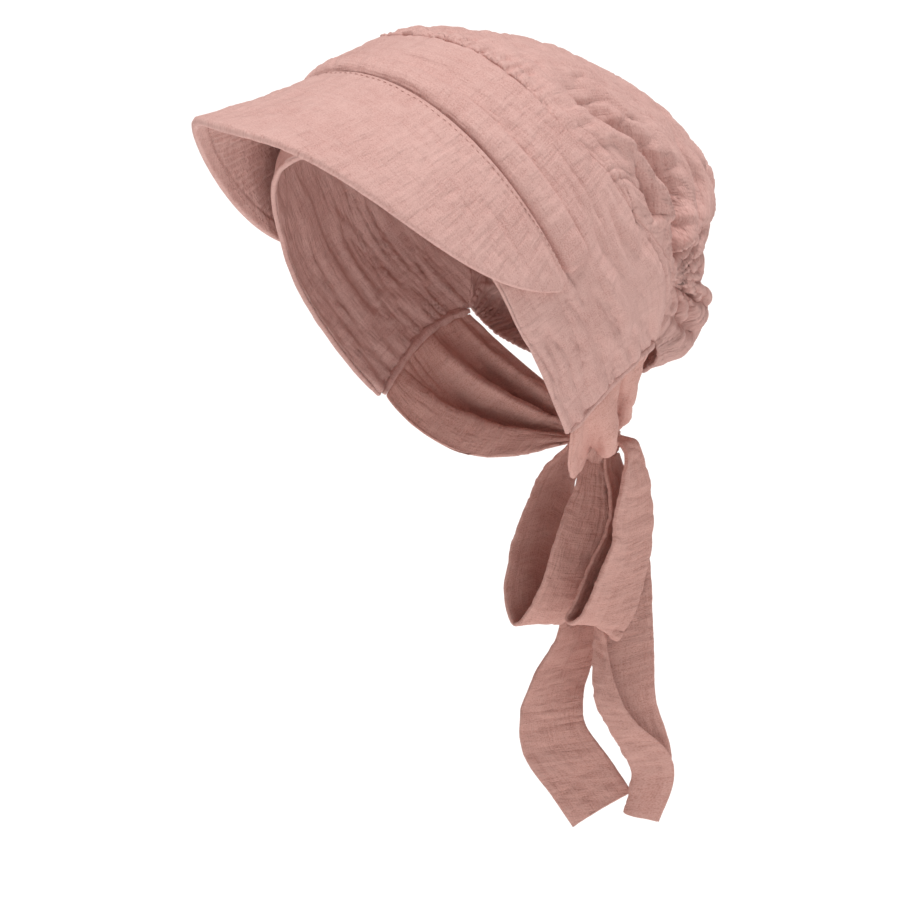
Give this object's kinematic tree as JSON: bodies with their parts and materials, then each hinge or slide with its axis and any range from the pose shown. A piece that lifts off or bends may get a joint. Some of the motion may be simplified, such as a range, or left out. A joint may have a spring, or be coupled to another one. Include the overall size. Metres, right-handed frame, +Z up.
{
  "type": "muslin visor turban",
  "caption": "Child's soft head wrap with a curved visor, a gathered hollow crown bag and wide ties in a bow behind the nape, in its worn form.",
  "frame": {"origin": "inside top of the crown on the middle line, where the cap sits on a head", "axes": "+Z up, -Y the way the wearer faces, +X the wearer's left"},
  "size_m": [0.1574, 0.2628, 0.3848],
  "materials": {
    "gauze": "matte crinkled double gauze",
    "gauze_tie": "matte crinkled double gauze"
  },
  "bodies": {
    "root": {"front_panel": "gauze", "visor": "gauze", "visor_band": "gauze", "crown_bag": "gauze", "edge_welt_left": "gauze", "edge_welt_right": "gauze", "tie_root_left": "gauze_tie", "tie_root_right": "gauze_tie", "bow_knot": "gauze_tie", "bow_loop_left": "gauze_tie", "bow_loop_right": "gauze_tie", "bow_tail_left": "gauze_tie", "bow_tail_right": "gauze_tie"}
  },
  "joints": []
}
